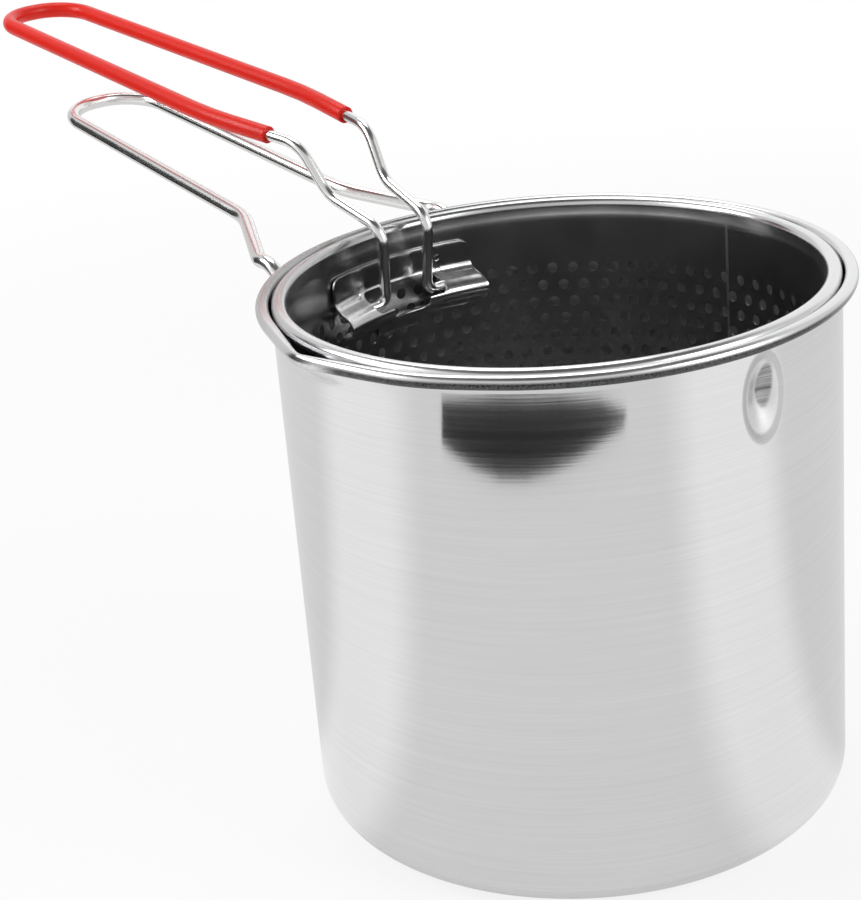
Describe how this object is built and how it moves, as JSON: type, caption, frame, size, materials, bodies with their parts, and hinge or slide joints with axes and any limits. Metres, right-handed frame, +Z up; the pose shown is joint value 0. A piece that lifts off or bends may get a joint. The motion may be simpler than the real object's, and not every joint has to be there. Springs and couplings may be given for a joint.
{
  "type": "deep fry pot with basket",
  "caption": "Tall round steel pot with a folding wire handle, a rolled rim with a pour lip, and a perforated lift-out basket that hangs in its mouth on a sleeved wire handle.",
  "frame": {"origin": "centre of the pot's flat underside", "axes": "+Z up along the pot's axis; both wire handles reach out along -X; the pour spout is pressed out towards -Y"},
  "size_m": [0.3659, 0.1723, 0.2089],
  "materials": {
    "pot_steel": "brushed in fine horizontal lines",
    "basket_steel": "satin",
    "bracket_steel": "bright",
    "wire": "bright",
    "sleeve": "glossy"
  },
  "bodies": {
    "pot": {"pot_body": "pot_steel", "pot_bracket": "bracket_steel"},
    "pot_handle": {"pot_handle_wire": "wire"},
    "basket": {"basket_wall": "basket_steel", "basket_base": "basket_steel", "basket_bracket": "bracket_steel"},
    "basket_handle": {"basket_handle_wire": "wire", "grip_sleeve": "sleeve"}
  },
  "joints": [
    {"name": "basket_lift", "type": "slide", "parent": "pot", "child": "basket", "axis": [0, 0, 1], "range_m": [0, 0.135]},
    {"name": "basket_handle_tilt", "type": "hinge", "parent": "basket", "child": "basket_handle", "pos_m": [-0.06827, 0, 0.1372], "axis": [0, 1, 0], "range_deg": [0, 40]},
    {"name": "pot_handle_tilt", "type": "hinge", "parent": "pot", "child": "pot_handle", "pos_m": [-0.0826, 0, 0.1385], "axis": [0, 1, 0], "range_deg": [-60, 5]}
  ]
}
